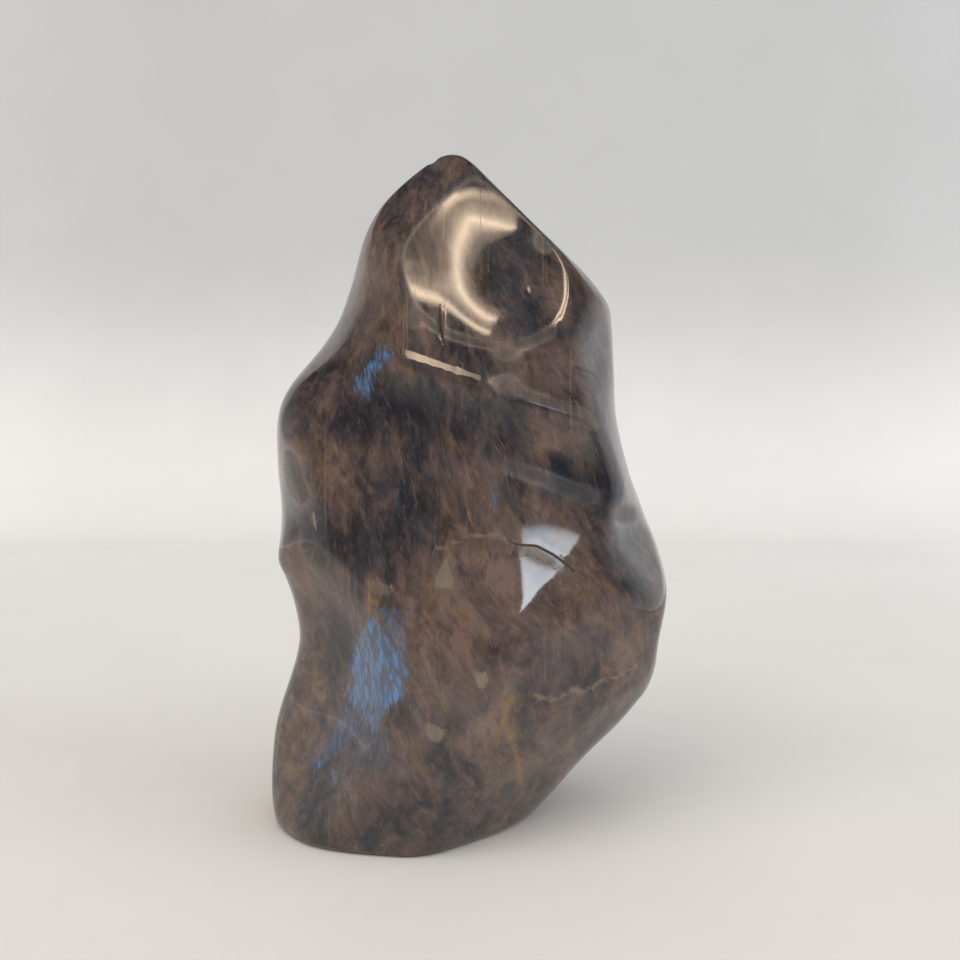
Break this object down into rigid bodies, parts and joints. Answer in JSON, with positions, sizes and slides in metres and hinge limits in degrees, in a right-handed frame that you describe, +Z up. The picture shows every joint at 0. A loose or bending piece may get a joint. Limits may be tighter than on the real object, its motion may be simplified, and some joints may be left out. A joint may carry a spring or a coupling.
{
  "type": "moonstone flame carving",
  "caption": "Free-form flame ground from one dark moonstone, polished all over, with soft ridges, shallow scoops and a flat sawn base.",
  "frame": {"origin": "middle of the stone's box, on the plane of its flat sawn base", "axes": "+Z up from the base to the tip; +X along the wide way of the stone, towards the overhanging shoulder; -Y is the broad front with the crossing ridge"},
  "size_m": [0.0716, 0.0506, 0.118],
  "materials": {
    "moonstone": "high polish over dark smoky brown feldspar, with fibrous reddish tan streaks, golden specks and patches of blue sheen"
  },
  "bodies": {
    "root": {"flame_carving": "moonstone"}
  },
  "joints": []
}
